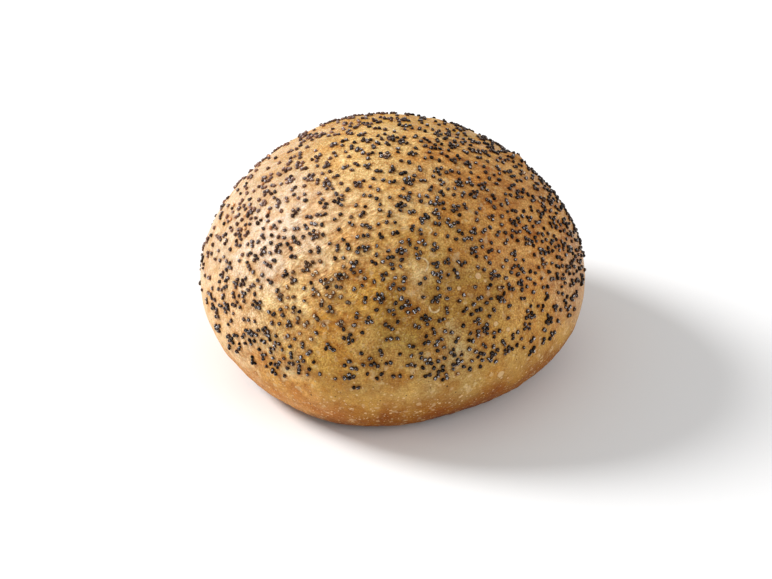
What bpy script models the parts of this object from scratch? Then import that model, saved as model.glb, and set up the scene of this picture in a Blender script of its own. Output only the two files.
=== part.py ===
"""A round, uncut bread roll: one solid that stands on its flat base.

Lengths are in metres and +Z is up.  The origin is the middle of the base, and
the side that is shown at the front faces -Y.  The crust is two half-ellipsoids
that share one round section at the widest height: a tall dome above it, and a
belly below it that tucks in to the base.  Slow swells around the roll and the
lumps of hand-shaped dough make it uneven.
"""

import math

import bmesh
import bpy
from mathutils import Vector, noise

# Driving dimensions of the crust
RADIUS = 0.0479
HEIGHT = 0.0590
WIDEST_HEIGHT = 0.0191
BELLY_DEPTH = 0.0320
BASE_ROUNDING = 0.0050

# Swells around the roll: (how many, share of the size, bearing of a crest in degrees)
PLAN_SWELLS = ((3, 0.015, -18.0), (4, 0.013, 0.0))
BELLY_SWELLS = ((2, 0.018, 61.0), (3, 0.035, 6.0), (4, 0.042, -22.0))

# Lumps of the dough: distance from one to the next, and height above the mean
LUMP_SPACING = 0.024
LUMP_HEIGHT = 0.0005

# A fifth-level icosphere puts facets of about 3 mm on the crust
SPHERE_LEVEL = 5

CRUST_COLOUR = (0.46, 0.22, 0.065, 1.0)
CRUST_ROUGHNESS = 0.5


def clear_scene():
    """Remove every object, so that the script can be run again."""
    for thing in list(bpy.data.objects):
        bpy.data.objects.remove(thing, do_unlink=True)


def swell(bearing, swells):
    """Rise above the mean size at a bearing, as a share of that size."""
    rise = 0.0
    for count, share, crest in swells:
        rise += share * math.cos(count * (bearing - math.radians(crest)))
    return rise


def soft_minimum(first, second, blend):
    """The smaller of two lengths, rounded over where they are nearly equal."""
    overlap = max(blend - abs(first - second), 0.0) / blend
    return min(first, second) - blend * overlap * overlap / 4.0


def crust_distance(direction):
    """Distance from the middle of the widest section out to the crust."""
    level = math.hypot(direction.x, direction.y)
    bearing = math.atan2(direction.y, direction.x)
    radius = RADIUS * (1.0 + level * level * swell(bearing, PLAN_SWELLS))
    if direction.z > 0.0:
        reach = HEIGHT - WIDEST_HEIGHT
    else:
        reach = BELLY_DEPTH * (1.0 + swell(bearing, BELLY_SWELLS))
    return 1.0 / math.hypot(level / radius, direction.z / reach)


def crust_point(direction):
    """Point of the roll in a direction from the middle of the widest section."""
    distance = crust_distance(direction)
    distance += LUMP_HEIGHT * noise.noise(direction * distance / LUMP_SPACING)
    if direction.z < 0.0:
        to_base = WIDEST_HEIGHT / -direction.z
        distance = soft_minimum(distance, to_base, BASE_ROUNDING)
    point = direction * distance
    point.z += WIDEST_HEIGHT
    return point


def merge_base(bm):
    """Turn the facets that lie in the plane of the base into one flat face."""
    flat = 1e-6
    for vert in bm.verts:
        if abs(vert.co.z) < flat:
            vert.co.z = 0.0
    base = [face for face in bm.faces if all(vert.co.z == 0.0 for vert in face.verts)]
    bmesh.ops.dissolve_faces(bm, faces=base, use_verts=True)


def centre_over_origin(bm):
    """Move the roll so that the middle of its box stands over the origin."""
    xs = [vert.co.x for vert in bm.verts]
    ys = [vert.co.y for vert in bm.verts]
    middle = Vector((min(xs) + max(xs), min(ys) + max(ys), 0.0)) / 2.0
    bmesh.ops.translate(bm, vec=-middle, verts=bm.verts)


def roll_mesh():
    """Mesh of the whole roll."""
    bm = bmesh.new()
    bmesh.ops.create_icosphere(bm, subdivisions=SPHERE_LEVEL, radius=1.0)
    for vert in bm.verts:
        vert.co = crust_point(vert.co.normalized())
    merge_base(bm)
    centre_over_origin(bm)
    bmesh.ops.recalc_face_normals(bm, faces=bm.faces)
    mesh = bpy.data.meshes.new("roll")
    bm.to_mesh(mesh)
    bm.free()
    mesh.shade_smooth()
    mesh.set_sharp_from_angle(angle=math.radians(30.0))
    return mesh


def crust_material():
    """Golden brown baked crust."""
    material = bpy.data.materials.new("crust")
    material.use_nodes = True
    shader = material.node_tree.nodes["Principled BSDF"]
    shader.inputs["Base Color"].default_value = CRUST_COLOUR
    shader.inputs["Roughness"].default_value = CRUST_ROUGHNESS
    shader.inputs["Metallic"].default_value = 0.0
    return material


def main():
    clear_scene()
    roll = bpy.data.objects.new("roll", roll_mesh())
    roll.data.materials.append(crust_material())
    bpy.context.scene.collection.objects.link(roll)


main()
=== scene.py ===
"""Looks of a round bread roll: baked crust, poppy seeds, and the table it is shown on.

Lengths are in metres, as in the frame, and materials work in millimetres of the
roll's own coordinates.  A spot of the crust is named by the direction in which it
lies from the heart of the roll: its bearing, where 0 is +X and -90 is the front,
and its rise above the level, both in degrees.
"""

import math
import random
from itertools import product

import bmesh
import bpy
import numpy as np
from mathutils import Matrix, Vector, noise
from mathutils.bvhtree import BVHTree
from mathutils.kdtree import KDTree


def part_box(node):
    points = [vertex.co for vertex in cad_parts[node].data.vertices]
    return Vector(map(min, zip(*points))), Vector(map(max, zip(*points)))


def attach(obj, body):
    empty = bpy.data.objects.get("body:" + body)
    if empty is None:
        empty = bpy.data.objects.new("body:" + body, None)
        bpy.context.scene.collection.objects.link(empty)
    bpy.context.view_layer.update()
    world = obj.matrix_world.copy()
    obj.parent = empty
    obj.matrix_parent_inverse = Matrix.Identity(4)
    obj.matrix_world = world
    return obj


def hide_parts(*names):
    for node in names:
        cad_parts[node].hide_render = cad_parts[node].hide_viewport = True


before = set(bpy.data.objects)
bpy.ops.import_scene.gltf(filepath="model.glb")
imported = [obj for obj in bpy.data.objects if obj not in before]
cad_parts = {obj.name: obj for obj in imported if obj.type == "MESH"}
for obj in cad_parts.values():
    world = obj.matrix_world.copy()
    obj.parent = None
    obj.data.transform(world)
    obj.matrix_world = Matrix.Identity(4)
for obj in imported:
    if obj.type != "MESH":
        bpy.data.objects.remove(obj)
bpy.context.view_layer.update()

MM = 0.001

ROLL_LOW, ROLL_HIGH = (Vector(corner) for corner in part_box("roll"))
HEIGHT = ROLL_HIGH.z
HEART = Vector((0.0, 0.0, 0.32 * HEIGHT))      # inner point from which the crust is shaped
UP = Vector((0.0, 0.0, 1.0))

# Grid of the crust: squares across the crown and down the flank, before they are divided
ACROSS = 35
DOWN = 25
FINER = 2                                       # how many times each square is quartered
SHOULDER = math.radians(50.0)                   # from the vertical, where crown meets flank
FOOT = math.radians(116.0)                      # from the vertical, where flank meets base

# Map of the crust: one round sheet for dome and flank, and a small one for the underside
SHEET_RADIUS = 0.455
SHEET_MIDDLE = 0.46
UNDER_RADIUS = 0.118
UNDER_MIDDLE = 0.875

# Bumps of the dough: bearing, rise, radius in mm, height in mm
BUMPS = (
    (15.0, 42.5, 3.0, 1.60),
    (33.0, 55.0, 8.5, -1.55),
    (65.0, 66.0, 9.0, -0.50),
    (-20.0, -1.0, 9.0, 0.45),
    (-45.0, -12.0, 7.0, 0.45),
    (-178.0, 6.0, 15.0, 0.55),
    (2.0, 8.0, 17.0, 0.50),
    (0.0, 34.0, 3.0, 0.45),
    (40.0, 54.0, 3.2, 0.45),
    (63.0, 51.0, 3.0, 0.40),
    (175.0, 33.0, 4.5, 0.35),
    (-25.0, 9.0, 4.0, 0.30),
)

# Creases of the skin: the way they run, then the two ways across, and their size
CREASE_AXES = [Vector(axis).normalized() for axis in ((0.66, -0.53, -0.53), (0.63, 0.78, 0.0), (0.41, -0.33, 0.85))]
CREASE_LENGTH = 12.0 * MM
CREASE_WIDTH = 2.6 * MM

# Seeds
SEED_COUNT = 2600
PALE_PATCH = (-115.0, 24.0, 10.0)                # bearing and rise of a patch of pale seeds, radius in mm
PALE_SHARE = 0.65                               # how many of that patch are pale
PALE_STRAYS = 0.012                             # how many of the others
SEED_SIZE = Vector((1.14, 0.97, 0.84)) * MM     # length, width, thickness
SEED_BUILDS = 14
SEED_LINE = 20.5                                # height in mm down to which the dome is seeded
LINE_WAVES = ((-135.0, 12.0, -7.5), (2.0, 22.0, 6.0))      # bearing, width in degrees, rise in mm
CLUMPS = (1, 1, 1, 1, 1, 1, 1, 1, 1, 1, 2, 2, 2, 2, 2, 3, 3, 4, 5, 6)

# Where seeds lie thicker or thinner: bearing, rise, reach in degrees, gain
SEED_ZONES = (
    (90.0, 62.0, 36.0, -0.65),
    (145.0, 45.0, 30.0, -0.60),
    (176.0, 16.0, 26.0, -0.70),
    (-148.0, -2.0, 14.0, -0.60),
    (-100.0, 15.0, 9.0, -0.45),
    (-112.0, 60.0, 14.0, -0.50),
    (-58.0, 18.0, 8.0, -0.50),
    (-156.0, 34.0, 16.0, 0.50),
    (-120.0, 22.0, 12.0, 0.80),
    (-97.0, 34.0, 8.0, 0.70),
    (-88.0, 44.0, 7.0, 0.70),
    (-54.0, 53.0, 13.0, 0.70),
    (-76.0, 13.0, 20.0, 0.60),
    (-4.0, 12.0, 22.0, 1.80),
    (-68.0, 31.0, 10.0, -0.50),
    (-136.0, 0.0, 6.0, -0.60),
    (-125.0, 15.0, 5.0, -0.35),
    (-113.0, 47.0, 8.0, -0.40),
    (-53.0, 44.0, 6.0, -0.35),
    (45.0, 52.0, 20.0, -0.35),
    (-104.0, 19.0, 7.0, 0.70),
    (-84.0, 38.0, 6.0, 0.60),
    (-65.0, 16.0, 6.0, 0.60),
    (-153.0, 1.0, 7.0, 0.90),
    (-20.0, 20.0, 12.0, 0.35),
    (-104.0, 10.0, 9.0, -0.45),
    (-124.0, 5.0, 7.0, 0.50),
    (-35.0, 55.0, 12.0, -0.25),
)


# ---------------------------------------------------------------- crust shape

def direction_to(bearing, rise):
    """Unit vector for a bearing and rise in degrees."""
    bearing, rise = math.radians(bearing), math.radians(rise)
    level = math.cos(rise)
    return Vector((level * math.cos(bearing), level * math.sin(bearing), math.sin(rise)))


def grid_bearing(x, y):
    """Bearing of a point of a square, so that squares turn into even circles."""
    if x == 0.0 and y == 0.0:
        return 0.0
    if abs(x) >= abs(y):
        return math.pi / 4.0 * y / x + (math.pi if x < 0.0 else 0.0)
    return math.pi / 2.0 - math.pi / 4.0 * x / y + (math.pi if y < 0.0 else 0.0)


def grid_slant(spot):
    """Angle from the vertical for a point on the cube that carries the grid."""
    ring = max(abs(spot.x), abs(spot.y))
    if spot.z > 0.999:
        return ring * SHOULDER
    if spot.z < -0.999:
        return math.pi - math.atan(ring * math.tan(math.pi - FOOT))
    return SHOULDER + (1.0 - spot.z) / 2.0 * (FOOT - SHOULDER)


def grid_direction(spot):
    """Direction from the heart of the roll for a point on the cube."""
    slant, bearing = grid_slant(spot), grid_bearing(spot.x, spot.y)
    level = math.sin(slant)
    return Vector((level * math.cos(bearing), level * math.sin(bearing), math.cos(slant)))


def crust_grid():
    """A cube cut into a grid: its top becomes the crown and its underside the base."""
    bm = bmesh.new()
    bmesh.ops.create_cube(bm, size=2.0)
    level = [e for e in bm.edges if abs(e.verts[0].co.z - e.verts[1].co.z) < 0.5]
    bmesh.ops.subdivide_edges(bm, edges=level, cuts=ACROSS - 1, use_grid_fill=True)
    upright = [e for e in bm.edges if abs(e.verts[0].co.z - e.verts[1].co.z) > 0.5]
    bmesh.ops.subdivide_edges(bm, edges=upright, cuts=DOWN - 1, use_grid_fill=True)
    return bm


def lay_map(bm):
    """Spread dome and flank as one round sheet of even scale, and the underside beside it."""
    layer = bm.loops.layers.uv.new("OFBake")
    for face in bm.faces:
        under = all(vert.co.z < -0.999 for vert in face.verts)
        for loop in face.loops:
            spot = loop.vert.co
            bearing = grid_bearing(spot.x, spot.y)
            if under:
                middle = UNDER_MIDDLE
                reach = UNDER_RADIUS * max(abs(spot.x), abs(spot.y))
            else:
                middle = SHEET_MIDDLE
                reach = SHEET_RADIUS * math.sin(grid_slant(spot) / 2.0) / math.sin(FOOT / 2.0)
            loop[layer].uv = (middle + reach * math.cos(bearing), middle + reach * math.sin(bearing))


def packed_form():
    """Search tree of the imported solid."""
    bm = bmesh.new()
    bm.from_mesh(bpy.data.objects["roll"].data)
    bmesh.ops.remove_doubles(bm, verts=bm.verts, dist=0.01 * MM)
    form = BVHTree.FromBMesh(bm)
    bm.free()
    return form


def moulded_crust(form):
    """Fine smooth mesh of the crust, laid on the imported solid."""
    bm = crust_grid()
    lay_map(bm)
    for vert in bm.verts:
        vert.co = form.ray_cast(HEART, grid_direction(vert.co))[0]
    bmesh.ops.recalc_face_normals(bm, faces=bm.faces)
    mesh = bpy.data.meshes.new("crust")
    bm.to_mesh(mesh)
    bm.free()
    crust = bpy.data.objects.new("crust", mesh)
    bpy.context.scene.collection.objects.link(crust)
    finer = crust.modifiers.new("finer", "SUBSURF")
    finer.levels = finer.render_levels = FINER
    ready = crust.evaluated_get(bpy.context.evaluated_depsgraph_get())
    crust.data = bpy.data.meshes.new_from_object(ready)
    crust.modifiers.clear()
    return crust


def smooth_step(low, high, value):
    """0 below low, 1 above high, and an even rise between them."""
    share = min(max((value - low) / (high - low), 0.0), 1.0)
    return share * share * (3.0 - 2.0 * share)


def lumps(spot, size, shift):
    """Soft noise from -1 to 1, with lumps of a size in millimetres."""
    return noise.noise(spot / (size * MM) + Vector((shift, -shift, 2.0 * shift)))


def creases(spot):
    """Shallow creases that run slantwise over the crown and the right flank."""
    along = spot.dot(CREASE_AXES[0]) / CREASE_LENGTH
    first, second = (spot.dot(axis) / CREASE_WIDTH for axis in CREASE_AXES[1:])
    towards = (spot - HEART).normalized().dot(direction_to(-5.0, 50.0))
    return smooth_step(0.55, 0.95, towards) * noise.noise(Vector((along, first, second)))


def relief(spot):
    """Height of the crust's unevenness at a point, in metres."""
    height = 0.20 * lumps(spot, 9.0, 0.0) + 0.11 * lumps(spot, 4.0, 7.0)
    rim = 1.0 - smooth_step(4.0, 13.0, spot.z / MM)
    height += (0.05 + 0.12 * rim) * lumps(spot, 1.9, 9.0) + 0.09 * creases(spot)
    for bearing, rise, radius, size in BUMPS:
        away = (spot - HEART).normalized() - direction_to(bearing, rise)
        share = away.length * (spot - HEART).length / (radius * MM)
        height += size * math.exp(-share * share)
    return height * MM


def roughen(crust):
    """Raise and sink the crust by its relief, and keep the base flat enough to stand on."""
    bm = bmesh.new()
    bm.from_mesh(crust.data)
    bm.normal_update()
    moves = []
    for vert in bm.verts:
        height = relief(vert.co)
        if vert.normal.z < -0.9:
            height = -abs(height)
        moves.append(vert.normal * height)
    for vert, move in zip(bm.verts, moves):
        vert.co += move
        vert.co.z = max(vert.co.z, 0.0)
    bm.to_mesh(crust.data)
    bm.free()
    crust.data.shade_smooth()


# ---------------------------------------------------------------- seeds

def seed_shape(number):
    """One build of poppy seed: a kidney that lies along X, with its dent towards +Y."""
    draw = random.Random(number)
    bm = bmesh.new()
    bm.loops.layers.uv.new("OFBake")
    bmesh.ops.create_uvsphere(bm, u_segments=8, v_segments=6, radius=0.5, calc_uvs=True)
    bmesh.ops.rotate(bm, verts=bm.verts, matrix=Matrix.Rotation(math.pi / 2.0, 3, "Y"))
    size = [side * draw.uniform(0.86, 1.14) for side in SEED_SIZE]
    bend = draw.uniform(0.15, 0.40)
    dent = draw.uniform(0.12, 0.34)
    taper = draw.uniform(-0.16, 0.16)
    for vert in bm.verts:
        x, y, z = vert.co
        if y > 0.0:
            y *= 1.0 - dent * math.exp(-(x / 0.22) ** 2)
        y += bend * (x * x - 0.1)
        girth = 1.0 + taper * 2.0 * x
        vert.co = Vector((x * size[0], y * girth * size[1], z * girth * size[2])) * draw.uniform(0.91, 1.09)
    return bm


def seed_table(bm):
    """Arrays of a seed's points, corner indices, face sizes and map corners."""
    uv = bm.loops.layers.uv.active
    bm.verts.index_update()
    points = np.array([vert.co[:] for vert in bm.verts])
    corners = np.array([loop.vert.index for face in bm.faces for loop in face.loops])
    sides = np.array([len(face.verts) for face in bm.faces])
    spread = np.array([loop[uv].uv[:] for face in bm.faces for loop in face.loops])
    bm.free()
    return points, corners, sides, spread


class Ground:
    """The crust as the seeds meet it: nearest points, and which places are taken."""

    def __init__(self, crust):
        graph = bpy.context.evaluated_depsgraph_get()
        self.tree = BVHTree.FromObject(crust, graph)
        self.spots = [vert.co.copy() for vert in crust.data.vertices]
        self.taken = {}

    def cell(self, spot):
        return tuple(math.floor(value / (1.5 * MM)) for value in spot)

    def is_free(self, spot, room):
        x, y, z = self.cell(spot)
        for cell in product((x - 1, x, x + 1), (y - 1, y, y + 1), (z - 1, z, z + 1)):
            if any((other - spot).length < room for other in self.taken.get(cell, ())):
                return False
        return True

    def take(self, spot):
        self.taken.setdefault(self.cell(spot), []).append(spot)


def swell(offset, width):
    """Bell curve: 1 in the middle, and nearly 0 at twice its width."""
    return math.exp(-(offset / width) ** 2)


def seeded(spot):
    """How likely a seed is to stick at a point, from 0 to 1."""
    outward = (spot - HEART).normalized()
    bearing = math.degrees(math.atan2(spot.y, spot.x))
    line = SEED_LINE + 2.2 * lumps(spot, 9.0, 3.0)
    for middle, width, rise in LINE_WAVES:
        line += rise * swell((bearing - middle + 180.0) % 360.0 - 180.0, width)
    edge = smooth_step(line - 2.0, line + 2.0, spot.z / MM)
    share = 0.46 + 0.08 * lumps(spot, 14.0, 5.0) + 0.16 * lumps(spot, 5.0, 8.0)
    for bearing, rise, reach, gain in SEED_ZONES:
        share *= 1.0 + gain * swell(math.degrees(outward.angle(direction_to(bearing, rise))), reach)
    return edge * min(max(share, 0.12), 1.0)


def beside(ground, clump, draw):
    """Free places that touch a clump of seeds, from twelve tries."""
    close = []
    for attempt in range(12):
        base, up = draw.choice(clump)
        side = up.orthogonal().normalized()
        side.rotate(Matrix.Rotation(draw.uniform(0.0, 2.0 * math.pi), 3, up))
        spot, normal = ground.tree.find_nearest(base + side * draw.uniform(0.98, 1.22) * MM)[:2]
        apart = all((spot - other[0]).length > 0.94 * MM for other in clump)
        if apart and ground.is_free(spot, 1.50 * MM):
            close.append((spot, normal))
    return close


def scatter(ground, draw, bare):
    """Places of the seeds, as (point, normal): singles and small clumps with bare crust between."""
    places = []
    while len(places) < SEED_COUNT:
        start = draw.choice(ground.spots)
        if draw.random() > seeded(start) or not ground.is_free(start, 1.52 * MM):
            continue
        if any((start - spot).length < reach for spot, reach in bare):
            continue
        clump = [ground.tree.find_nearest(start)[:2]]
        wanted = draw.choice(CLUMPS)
        while len(clump) < wanted:
            close = beside(ground, clump, draw)
            if not close:
                break
            clump.append(min(close, key=lambda place: (place[0] - start).length))
        for spot, normal in clump:
            ground.take(spot)
        places.extend(clump)
    return places


def paint_shade_round_seeds(crust, places):
    """Paint shade round the foot of each seed: a painted contact shadow, partly skin browned there."""
    seeds = KDTree(len(places))
    for index, place in enumerate(places):
        seeds.insert(place[0], index)
    seeds.balance()
    # Painted shade round each seed's foot, partly browned skin: 1 within 0.5 mm of a seed, 0 beyond 0.95 mm
    seed_shade_and_browning = crust.data.attributes.new("seed_shade_and_browning", "FLOAT", "POINT")
    away = [seeds.find(vert.co)[2] / MM for vert in crust.data.vertices]
    seed_shade_and_browning.data.foreach_set("value", [1.0 - smooth_step(0.50, 0.95, reach) for reach in away])


def seed_matrix(place, draw):
    """Turn and place of one seed: lying on the crust, partly sunk in it, a little tilted."""
    spot, normal = place
    lay = normal.to_track_quat("Z", "X").to_matrix().to_4x4()
    spin = Matrix.Rotation(draw.uniform(0.0, 2.0 * math.pi), 4, "Z")
    tilt = Matrix.Rotation(draw.gauss(0.0, 0.3), 4, "Y") @ Matrix.Rotation(draw.gauss(0.0, 0.35), 4, "X")
    size = Matrix.Scale(draw.uniform(0.86, 1.08), 4)
    lift = draw.uniform(0.12, 0.26) * MM
    return Matrix.Translation(spot + normal * lift) @ lay @ spin @ tilt @ size


def seed_piece(name, places, draw):
    """One mesh of many seeds, each with its own tone and its own cell of the map."""
    builds = [seed_table(seed_shape(number)) for number in range(SEED_BUILDS)]
    cells = math.ceil(math.sqrt(len(places)))
    points, corners, sides, spread, tones = [], [], [], [], []
    count = 0
    for index, place in enumerate(places):
        shape, corner, side, cell_map = draw.choice(builds)
        turn = np.array(seed_matrix(place, draw))
        points.append(shape @ turn[:3, :3].T + turn[:3, 3])
        corners.append(corner + count)
        sides.append(side)
        cell = np.array((index % cells, index // cells))
        spread.append((cell + 0.06 + 0.88 * cell_map) / cells)
        tones.append(np.full(len(shape), draw.random()))
        count += len(shape)
    points, corners, sides = map(np.concatenate, (points, corners, sides))
    mesh = bpy.data.meshes.new(name)
    mesh.vertices.add(len(points))
    mesh.vertices.foreach_set("co", points.astype(np.float32).ravel())
    mesh.loops.add(len(corners))
    mesh.loops.foreach_set("vertex_index", corners.astype(np.int32))
    mesh.polygons.add(len(sides))
    starts = np.concatenate(([0], np.cumsum(sides)[:-1]))
    mesh.polygons.foreach_set("loop_start", starts.astype(np.int32))
    mesh.update(calc_edges=True)
    mesh.validate()
    layer = mesh.uv_layers.new(name="OFBake")
    layer.data.foreach_set("uv", np.concatenate(spread).astype(np.float32).ravel())
    tone = mesh.attributes.new("tone", "FLOAT", "POINT")
    tone.data.foreach_set("value", np.concatenate(tones).astype(np.float32))
    mesh.shade_smooth()
    piece = bpy.data.objects.new(name, mesh)
    bpy.context.scene.collection.objects.link(piece)
    return piece


# ---------------------------------------------------------------- materials

class Recipe:
    """Builds the nodes of one material. Each step returns the socket that it made."""

    def __init__(self, name):
        self.material = bpy.data.materials.new(name)
        self.material.use_nodes = True
        self.tree = self.material.node_tree
        self.shader = self.tree.nodes["Principled BSDF"]
        place = self.tree.nodes.new("ShaderNodeTexCoord").outputs["Object"]
        self.place = self.vector("MULTIPLY", place, (1000.0, 1000.0, 1000.0))

    def feed(self, socket, value):
        if isinstance(value, bpy.types.NodeSocket):
            self.tree.links.new(value, socket)
        else:
            socket.default_value = value

    def vector(self, way, first, second):
        node = self.tree.nodes.new("ShaderNodeVectorMath")
        node.operation = way
        self.feed(node.inputs[0], first)
        self.feed(node.inputs[1], second)
        return node.outputs["Value" if way in ("DOT_PRODUCT", "DISTANCE") else "Vector"]

    def number(self, way, first, second=0.0):
        node = self.tree.nodes.new("ShaderNodeMath")
        node.operation = way
        self.feed(node.inputs[0], first)
        self.feed(node.inputs[1], second)
        return node.outputs[0]

    def span(self, value, low, high, start=0.0, end=1.0):
        """Value taken from low..high to start..end, with a smooth rise."""
        node = self.tree.nodes.new("ShaderNodeMapRange")
        node.interpolation_type = "SMOOTHSTEP"
        self.feed(node.inputs["Value"], value)
        for name, number in (("From Min", low), ("From Max", high), ("To Min", start), ("To Max", end)):
            node.inputs[name].default_value = number
        return node.outputs["Result"]

    def clouds(self, size, detail=2.0, place=None, roughness=0.5, shift=0.0):
        """Soft noise with patches of a size in millimetres."""
        node = self.tree.nodes.new("ShaderNodeTexNoise")
        place = self.place if place is None else place
        self.feed(node.inputs["Vector"], self.vector("ADD", place, (shift, shift, shift)))
        node.inputs["Scale"].default_value = 1.0 / size
        node.inputs["Detail"].default_value = detail
        node.inputs["Roughness"].default_value = roughness
        return node.outputs["Fac"]

    def cells(self, size, feature="F1", place=None):
        """Voronoi cells of a size in millimetres."""
        node = self.tree.nodes.new("ShaderNodeTexVoronoi")
        node.feature = feature
        self.feed(node.inputs["Vector"], self.place if place is None else place)
        node.inputs["Scale"].default_value = 1.0 / size
        return node.outputs

    def specks(self, spacing, share, radius, place=None):
        """Round specks of a radius in mm, in a share of the cells of a spacing in mm."""
        cells = self.cells(spacing, place=place)
        pick = self.tree.nodes.new("ShaderNodeSeparateXYZ")
        self.feed(pick.inputs[0], cells["Color"])
        chosen = self.number("GREATER_THAN", pick.outputs["X"], 1.0 - share)
        size = self.span(pick.outputs["Y"], 0.0, 1.0, 0.45 * radius / spacing, radius / spacing)
        near = self.number("DIVIDE", cells["Distance"], size)
        return self.number("MULTIPLY", chosen, self.span(near, 1.0, 0.70))

    def near(self, spot, inner, outer, place=None):
        """1 within a distance in mm of a spot, 0 beyond another, and an even fall between."""
        away = self.vector("DISTANCE", self.place if place is None else place, tuple(spot / MM))
        return self.span(away, outer, inner)

    def blend(self, share, first, second, way="MIX"):
        node = self.tree.nodes.new("ShaderNodeMix")
        node.data_type = "RGBA"
        node.blend_type = way
        node.clamp_result = True
        self.feed(node.inputs["Factor"], share)
        self.feed(node.inputs["A"], first if isinstance(first, bpy.types.NodeSocket) else (*first, 1.0))
        self.feed(node.inputs["B"], second if isinstance(second, bpy.types.NodeSocket) else (*second, 1.0))
        return node.outputs["Result"]

    def grained(self, colour, pattern, dark, light, reach=0.25):
        """Colour with the lows of a pattern browned and its highs paled."""
        browned = self.number("MULTIPLY", self.span(pattern, 0.50, 0.50 - reach), dark)
        colour = self.blend(browned, colour, (0.66, 0.46, 0.26), "MULTIPLY")
        paled = self.number("MULTIPLY", self.span(pattern, 0.50, 0.50 + reach), light)
        return self.blend(paled, colour, (1.36, 1.44, 1.60), "MULTIPLY")

    def streaks(self, along, length, width, place=None):
        """Soft noise drawn out along a direction, with its length and width in mm."""
        place = self.place if place is None else place
        first = along.orthogonal().normalized()
        second = along.cross(first)
        join = self.tree.nodes.new("ShaderNodeCombineXYZ")
        for socket, axis, size in zip(join.inputs, (along, first, second), (length, width, width)):
            self.feed(socket, self.vector("DOT_PRODUCT", place, tuple(axis / size)))
        return self.clouds(1.0, 2.0, place=join.outputs[0])

    def bump(self, height, depth, strength=1.0, below=None):
        """Fine relief from a height of 0 to 1, depth being its size in metres."""
        node = self.tree.nodes.new("ShaderNodeBump")
        node.inputs["Strength"].default_value = strength
        node.inputs["Distance"].default_value = depth
        self.feed(node.inputs["Height"], height)
        if below is not None:
            self.feed(node.inputs["Normal"], below)
        return node.outputs["Normal"]


class Crust:
    """Where things are on the crust."""

    def __init__(self, form):
        self.form = form

    def spot(self, bearing, rise):
        return self.form.ray_cast(HEART, direction_to(bearing, rise))[0]

    def heading(self, bearing, rise, turn):
        """Direction along the crust at a spot: turn 0 is to the right of it, 90 is up the dome."""
        normal = self.form.ray_cast(HEART, direction_to(bearing, rise))[1]
        right = UP.cross(normal).normalized()
        turn = math.radians(turn)
        return right * math.cos(turn) + normal.cross(right) * math.sin(turn)


# Zones of the crust that differ from its mean gold: bearing, rise, inner and outer radius in mm,
# strength, colour. The pale cream zones on the left flank are partly painted sheen of the key lamp.
TONE_AND_SHEEN_ZONES = (
    (-178.0, 22.0, 10.0, 50.0, 0.95, (0.58, 0.415, 0.255)),
    (-100.0, 78.0, 9.0, 28.0, 0.90, (0.64, 0.42, 0.165)),
    (-112.0, 48.0, 5.0, 20.0, 0.90, (0.64, 0.42, 0.185)),
    (-142.0, 34.0, 5.0, 22.0, 0.90, (0.70, 0.55, 0.400)),
    (-18.0, 36.0, 13.0, 38.0, 0.95, (0.55, 0.275, 0.075)),
    (-15.0, 8.0, 5.0, 18.0, 0.80, (0.52, 0.310, 0.160)),
    (-66.0, 22.0, 5.0, 18.0, 0.95, (0.37, 0.196, 0.034)),
    (-88.0, 13.0, 3.0, 13.0, 0.85, (0.34, 0.200, 0.038)),
    (-72.0, 0.0, 4.0, 15.0, 0.85, (0.42, 0.260, 0.080)),
    (-48.0, 2.0, 4.0, 15.0, 0.80, (0.45, 0.245, 0.056)),
    (-146.0, 0.0, 6.0, 22.0, 0.90, (0.69, 0.450, 0.230)),
    (-122.0, -5.0, 4.0, 15.0, 0.90, (0.66, 0.330, 0.075)),
    (-118.0, 20.0, 3.0, 16.0, 0.85, (0.67, 0.460, 0.195)),
    (-110.0, 8.0, 2.0, 10.0, 0.80, (0.56, 0.305, 0.055)),
    (-81.0, 32.0, 2.0, 9.0, 0.70, (0.62, 0.430, 0.190)),
    (-75.0, 8.0, 2.0, 9.0, 0.70, (0.42, 0.280, 0.110)),
    (-35.0, 70.0, 2.0, 12.0, 0.70, (0.50, 0.260, 0.070)),
    (-100.0, 47.0, 1.0, 7.0, 0.60, (0.54, 0.300, 0.090)),
    (-104.0, -5.0, 2.0, 12.0, 0.75, (0.47, 0.245, 0.055)),
    (-95.0, 1.0, 1.0, 8.0, 0.60, (0.40, 0.255, 0.080)),
    (-124.0, 6.0, 1.0, 8.0, 0.70, (0.74, 0.560, 0.300)),
    (-140.0, 20.0, 2.0, 9.0, 0.55, (0.74, 0.570, 0.370)),
    (-70.0, 60.0, 3.0, 11.0, 0.60, (0.68, 0.450, 0.190)),
    (-76.0, 10.0, 1.0, 7.0, 0.60, (0.43, 0.340, 0.170)),
)

# Pale spots where the skin lifted: bearing, rise, radius in mm
BLISTERS = (
    (-60.0, 29.0, 0.85),
    (-57.0, -3.0, 1.00),
    (-68.0, 27.0, 0.55),
    (-58.0, 27.0, 0.45),
    (-58.0, 14.0, 0.65),
    (-54.0, 11.0, 0.60),
    (-71.0, 55.0, 0.60),
    (-62.0, 46.0, 0.60),
)

# Curled edges of lifted skin: bearing, rise, radius in mm, middle of the arc, half its spread
CURLS = (
    (-80.0, 35.5, 1.75, 5.0, 75.0),
    (-77.0, 23.0, 1.25, -110.0, 85.0),
    (-74.0, 46.0, 0.70, -20.0, 80.0),
)


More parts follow.
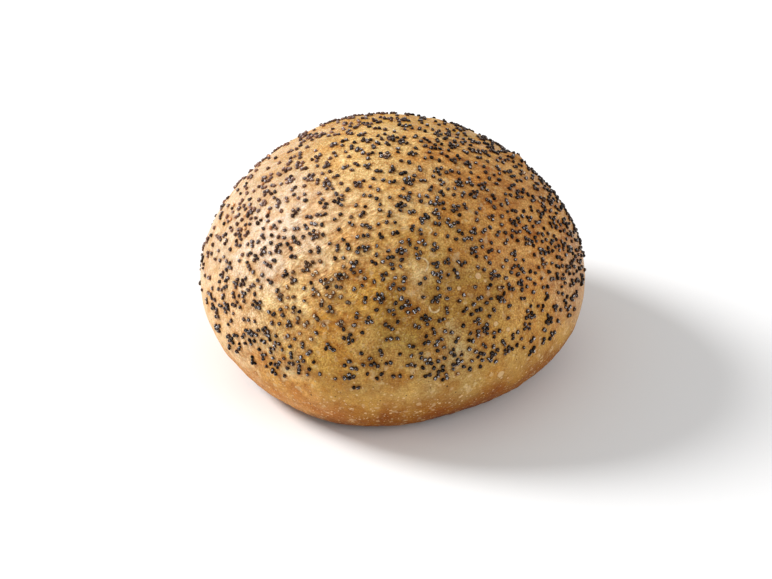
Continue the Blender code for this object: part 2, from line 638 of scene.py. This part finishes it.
def crust_material(crust):
    """Baked crust: pale gold on one flank, partly painted sheen of the key lamp, deeper gold elsewhere, reddish brown
    low down.
    """
    mix = Recipe("baked_crust")
    apart = mix.tree.nodes.new("ShaderNodeSeparateXYZ")
    mix.feed(apart.inputs[0], mix.place)
    height = apart.outputs["Z"]
    patches = mix.clouds(11.0, 2.0)
    mottle = mix.clouds(3.2, 3.0, shift=20.0)
    crumb = mix.clouds(1.1, 2.0, shift=60.0)
    grain = mix.clouds(0.40, 1.0, shift=40.0)
    warp = mix.tree.nodes.new("ShaderNodeTexNoise")
    mix.feed(warp.inputs["Vector"], mix.place)
    warp.inputs["Scale"].default_value = 1.0 / 12.0
    wander = mix.vector("SUBTRACT", warp.outputs["Color"], (0.5, 0.5, 0.5))
    swayed = mix.vector("ADD", mix.place, mix.vector("MULTIPLY", wander, (26.0, 26.0, 26.0)))
    waved = mix.vector("ADD", mix.place, mix.vector("MULTIPLY", wander, (10.0, 10.0, 10.0)))

    gold = mix.blend(mix.span(patches, 0.35, 0.65), (0.54, 0.310, 0.080), (0.51, 0.265, 0.045))
    # Own tones of the crust; the pale cream zones on the left flank also paint the key lamp's sheen into the colour
    for bearing, rise, inner, outer, strength, colour in TONE_AND_SHEEN_ZONES:
        share = mix.near(crust.spot(bearing, rise), inner, outer, swayed)
        gold = mix.blend(mix.number("MULTIPLY", share, strength), gold, colour)

    low = mix.number("ADD", height, mix.span(patches, 0.3, 0.7, -2.0, 2.0))
    low = mix.number("SUBTRACT", low, mix.span(apart.outputs["X"], -10.0, 25.0, 0.0, 1.5))
    low = mix.number("ADD", low, mix.number("MULTIPLY", mix.near(crust.spot(-88.0, -18.0), 3.0, 11.0), 2.0))
    foot = mix.blend(mix.span(apart.outputs["X"], -26.0, -2.0), (0.58, 0.260, 0.075), (0.26, 0.073, 0.002))
    gold = mix.blend(mix.span(low, 15.5, 7.0, 0.0, 0.92), gold, foot)
    gold = mix.blend(mix.span(low, 6.0, -1.0, 0.0, 0.85), gold, (0.12, 0.026, 0.000))

    blush = mix.span(mix.clouds(6.0, 2.0, shift=130.0), 0.47, 0.62, 0.0, 0.75)
    gold = mix.blend(blush, gold, (0.88, 0.70, 0.45), "MULTIPLY")
    right = mix.near(crust.spot(-15.0, 42.0), 14.0, 34.0)
    streaks = mix.streaks(crust.heading(-25.0, 40.0, -38.0), 10.0, 1.7)
    gold = mix.grained(gold, streaks, mix.number("MULTIPLY", right, 0.58), mix.number("MULTIPLY", right, 0.40), 0.13)
    drawn = mix.near(crust.spot(-108.0, 38.0), 12.0, 29.0)
    fibres = mix.streaks(crust.heading(-112.0, 26.0, 40.0), 2.6, 0.60, waved)
    folds = mix.streaks(crust.heading(-112.0, 26.0, 36.0), 3.4, 1.3, waved)
    # The folds and fibres are paled on their highs and browned on their lows, as their bump rises and sinks: partly
    # the skin's own tone, partly painted highlight and shade
    gold = mix.grained(gold, folds, mix.number("MULTIPLY", drawn, 0.25), mix.number("MULTIPLY", drawn, 0.40), 0.20)
    gold = mix.grained(gold, fibres, mix.number("MULTIPLY", drawn, 0.55), mix.number("MULTIPLY", drawn, 0.80), 0.22)
    lively = mix.number("MAXIMUM", drawn, mix.near(crust.spot(-95.0, 76.0), 8.0, 26.0))
    lively = mix.number("MAXIMUM", lively, mix.near(crust.spot(-128.0, 6.0), 8.0, 22.0))
    gold = mix.grained(gold, mottle, mix.span(lively, 0.0, 1.0, 0.32, 0.65), mix.span(lively, 0.0, 1.0, 0.25, 0.55), 0.20)
    gold = mix.grained(gold, crumb, mix.span(lively, 0.0, 1.0, 0.40, 0.70), mix.span(lively, 0.0, 1.0, 0.40, 0.75))
    smooth = mix.near(crust.spot(-170.0, 28.0), 15.0, 36.0)
    rough = mix.number("MULTIPLY", mix.span(height, 30.0, 14.0, 1.0, 0.5), mix.span(smooth, 0.0, 1.0, 1.0, 0.6))
    rough = mix.number("MULTIPLY", rough, mix.span(drawn, 0.0, 1.0, 1.0, 0.55))
    gold = mix.grained(gold, grain, mix.number("MULTIPLY", rough, 0.60), rough, 0.17)
    thin = mix.span(mix.clouds(2.4, 2.0, shift=90.0), 0.62, 0.70, 0.0, 0.35)
    gold = mix.blend(thin, gold, (0.78, 0.58, 0.32))
    # Pale thin streaks that run along the fibres in the drawn patch
    pale_streaks = mix.span(mix.streaks(crust.heading(-112.0, 26.0, 34.0), 1.7, 0.36, waved), 0.60, 0.72)
    gold = mix.blend(mix.number("MULTIPLY", pale_streaks, mix.span(drawn, 0.0, 1.0, 0.20, 0.60)), gold, (0.86, 0.62, 0.34))
    # Painted contact shadow round each seed's foot, partly browned skin: the gold is darkened and reddened there
    seed_shade_and_browning = mix.tree.nodes.new("ShaderNodeAttribute")
    seed_shade_and_browning.attribute_name = "seed_shade_and_browning"
    gold = mix.blend(mix.number("MULTIPLY", seed_shade_and_browning.outputs["Fac"], 0.75), gold, (0.66, 0.40, 0.18), "MULTIPLY")

    large = mix.number("MULTIPLY", mix.specks(3.1, 0.5, 0.80), 0.65)
    flecks = mix.number("MAXIMUM", mix.specks(1.4, 0.80, 0.40), large)
    fine = mix.number("MULTIPLY", mix.specks(0.85, 0.5, 0.25), mix.span(height, 22.0, 10.0))
    flecks = mix.number("MAXIMUM", flecks, fine)
    lower = mix.span(height, 28.0, 8.0, 0.28, 0.75)
    lower = mix.number("MULTIPLY", lower, mix.span(height, 1.0, 9.0, 0.35, 1.0))
    gold = mix.blend(mix.number("MULTIPLY", flecks, lower), gold, (0.82, 0.59, 0.31))
    pores = mix.number("MULTIPLY", mix.specks(1.9, 0.6, 0.30), mix.span(height, 45.0, 20.0, 0.4, 1.0))
    gold = mix.blend(mix.number("MULTIPLY", pores, 0.9), gold, (0.05, 0.016, 0.004))

    skin = mix.number("MULTIPLY", flecks, 0.4)
    for bearing, rise, radius in BLISTERS:
        share = mix.near(crust.spot(bearing, rise), 0.8 * radius, 1.05 * radius)
        gold = mix.blend(mix.number("MULTIPLY", share, 0.75), gold, (0.74, 0.49, 0.25))
        skin = mix.number("MAXIMUM", skin, share)
    for bearing, rise, radius, turn, spread in CURLS:
        spot = crust.spot(bearing, rise)
        away = mix.vector("DISTANCE", mix.place, tuple(spot / MM))
        ring = mix.span(mix.number("ABSOLUTE", mix.number("SUBTRACT", away, radius)), 0.34, 0.08)
        offset = mix.vector("SUBTRACT", mix.place, tuple(spot / MM))
        facing = mix.vector("DOT_PRODUCT", offset, tuple(crust.heading(bearing, rise, turn)))
        limit = radius * math.cos(math.radians(spread))
        share = mix.number("MULTIPLY", ring, mix.span(facing, limit - 0.3, limit + 0.3))
        gold = mix.blend(mix.number("MULTIPLY", share, mix.span(crumb, 0.3, 0.6, 0.30, 0.8)), gold, (0.86, 0.68, 0.40))
        skin = mix.number("MAXIMUM", skin, share)

    mix.feed(mix.shader.inputs["Base Color"], gold)
    matt = mix.number("ADD", mix.span(mottle, 0.3, 0.7, 0.40, 0.52), mix.span(height, 26.0, 8.0, 0.0, 0.25))
    mix.feed(mix.shader.inputs["Roughness"], matt)
    mix.shader.inputs["Specular IOR Level"].default_value = 0.15
    mix.shader.inputs["Subsurface Weight"].default_value = 0.20
    mix.shader.inputs["Subsurface Radius"].default_value = (1.0, 0.45, 0.2)
    mix.shader.inputs["Subsurface Scale"].default_value = 1.0 * MM
    normal = mix.bump(crumb, 0.26 * MM)
    normal = mix.bump(grain, 0.13 * MM, below=normal)
    normal = mix.bump(mix.number("MULTIPLY", fibres, mix.number("MULTIPLY", drawn, mottle)), 0.42 * MM, below=normal)
    normal = mix.bump(mix.number("MULTIPLY", folds, drawn), 0.22 * MM, below=normal)
    normal = mix.bump(skin, 0.12 * MM, below=normal)
    mix.feed(mix.shader.inputs["Normal"], normal)
    return mix.material


def seed_material(name, crust, dark, light, ridge, strength, cover):
    """Netted poppy seed: each has its own tone; the net is paled on each seed's outward top, partly dust and partly
    painted top light; and the seeds are painted lighter away from the front, lightest on the flank towards the key
    lamp.
    """
    mix = Recipe(name)
    tone = mix.tree.nodes.new("ShaderNodeAttribute")
    tone.attribute_name = "tone"
    body = mix.blend(tone.outputs["Fac"], dark, light)
    # Painted light: seeds stay dark on the front and crown, are painted lighter elsewhere, and far lighter on the
    # left-back flank that faces the key lamp
    front = mix.near(crust.spot(-90.0, 30.0), 14.0, 34.0)
    front = mix.number("MAXIMUM", front, mix.near(crust.spot(-80.0, 85.0), 10.0, 22.0))
    body = mix.blend(mix.span(front, 1.0, 0.0), body, (1.7, 1.8, 2.0), "MULTIPLY")
    body = mix.blend(mix.near(crust.spot(168.0, 38.0), 18.0, 50.0), body, (5.4, 5.5, 6.2), "MULTIPLY")
    outward = mix.vector("NORMALIZE", mix.vector("SUBTRACT", mix.place, tuple(HEART / MM)), (0.0, 0.0, 0.0))
    facing = mix.vector("DOT_PRODUCT", mix.tree.nodes.new("ShaderNodeNewGeometry").outputs["Normal"], outward)
    net = mix.span(mix.cells(0.30, "DISTANCE_TO_EDGE")["Distance"], 0.02, 0.16, 1.0, 0.0)
    dust = mix.span(mix.clouds(0.36, 1.0), 0.64 - cover, 0.70 - cover)
    # The dusted net is paled only on each seed's outward top: partly dust, partly painted top light
    top = mix.span(facing, 0.35, 0.85)
    share = mix.number("MULTIPLY", mix.number("MULTIPLY", mix.span(net, 0.0, 1.0, 0.35, 1.0), dust), top)
    share = mix.number("MULTIPLY", share, mix.span(tone.outputs["Fac"], 0.0, 1.0, 0.12 * strength, strength))
    mix.feed(mix.shader.inputs["Base Color"], mix.blend(share, body, ridge))
    mix.feed(mix.shader.inputs["Roughness"], mix.span(net, 0.0, 1.0, 0.26, 0.45))
    mix.shader.inputs["Specular IOR Level"].default_value = 0.06
    mix.feed(mix.shader.inputs["Normal"], mix.bump(net, 0.03 * MM))
    return mix.material


def floor_material():
    """Matt white table."""
    mix = Recipe("white_table")
    tint = mix.clouds(400.0, 1.0)
    mix.feed(mix.shader.inputs["Base Color"], mix.blend(tint, (0.90, 0.90, 0.90), (0.92, 0.92, 0.92)))
    mix.shader.inputs["Roughness"].default_value = 0.9
    return mix.material


# ---------------------------------------------------------------- stage

def add_floor():
    bm = bmesh.new()
    bmesh.ops.create_circle(bm, cap_ends=True, segments=64, radius=3.0)
    mesh = bpy.data.meshes.new("table")
    bm.to_mesh(mesh)
    bm.free()
    mesh.materials.append(floor_material())
    table = bpy.data.objects.new("table", mesh)
    bpy.context.scene.collection.objects.link(table)


def aim(thing, spot, target):
    """Put a lamp or the camera at a spot, looking at a target."""
    thing.location = spot
    thing.rotation_euler = (target - spot).to_track_quat("-Z", "Y").to_euler()


def add_lamp(name, bearing, rise, distance, size, power):
    """Soft round lamp at a bearing and rise from the roll."""
    data = bpy.data.lights.new(name, "AREA")
    data.shape = "DISK"
    data.size = size
    data.energy = power
    lamp = bpy.data.objects.new(name, data)
    bpy.context.scene.collection.objects.link(lamp)
    aim(lamp, HEART + direction_to(bearing, rise) * distance, HEART)


def add_lighting():
    add_lamp("key_lamp", 162.0, 36.0, 1.2, 0.4, 16.0)
    add_lamp("fill_lamp", -30.0, 30.0, 1.2, 0.9, 4.0)
    world = bpy.data.worlds.new("room")
    world.use_nodes = True
    world.node_tree.nodes["Background"].inputs["Color"].default_value = (1.0, 1.0, 1.0, 1.0)
    world.node_tree.nodes["Background"].inputs["Strength"].default_value = 0.50
    bpy.context.scene.world = world
    bpy.context.scene.view_settings.view_transform = "Standard"


def add_camera():
    data = bpy.data.cameras.new("camera")
    data.lens = 85.0
    data.sensor_width = 36.0
    camera = bpy.data.objects.new("camera", data)
    bpy.context.scene.collection.objects.link(camera)
    target = Vector((-1.7, -0.5, 15.1)) * MM
    aim(camera, target + direction_to(-90.0, 33.0) * 0.47, target)
    bpy.context.scene.camera = camera


# ---------------------------------------------------------------- making

def finish_piece(piece, material):
    piece.data.materials.clear()
    piece.data.materials.append(material)
    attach(piece, "root")


def main():
    form = packed_form()
    crust = moulded_crust(form)
    roughen(crust)
    finish_piece(crust, crust_material(Crust(form)))
    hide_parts("roll")
    draw = random.Random(71)
    site = Crust(form)
    bare = [(site.spot(*mark[:2]), (mark[2] + 0.6) * MM) for mark in BLISTERS + CURLS]
    places = scatter(Ground(crust), draw, bare)
    # Painted shade round each seed's foot on the crust, partly browned skin
    paint_shade_round_seeds(crust, places)
    draw.shuffle(places)
    patch = site.spot(*PALE_PATCH[:2])
    pale, dark = [], []
    for place in places:
        inside = (place[0] - patch).length < PALE_PATCH[2] * MM
        (pale if draw.random() < (PALE_SHARE if inside else PALE_STRAYS) else dark).append(place)
    half = len(dark) // 2
    # The ridge colour is what the paled top of each seed's net takes: partly dust, partly painted top light
    kinds = (
        ("slate_seeds", dark[:half], "poppy_seed", (0.005, 0.003, 0.002), (0.030, 0.017, 0.011), (0.88, 0.85, 0.85), 1.2, 0.13),
        ("black_seeds", dark[half:], "poppy_seed", (0.005, 0.002, 0.001), (0.038, 0.018, 0.010), (0.84, 0.76, 0.70), 1.0, 0.11),
        ("pale_seeds", pale, "pale_seed", (0.030, 0.010, 0.003), (0.16, 0.065, 0.022), (0.95, 0.82, 0.60), 1.6, 0.17),
    )
    for name, some, slot, low, high, ridge, strength, cover in kinds:
        finish_piece(seed_piece(name, some, draw), seed_material(name, site, low, high, ridge, strength, cover))
    add_floor()
    add_lighting()
    add_camera()


main()
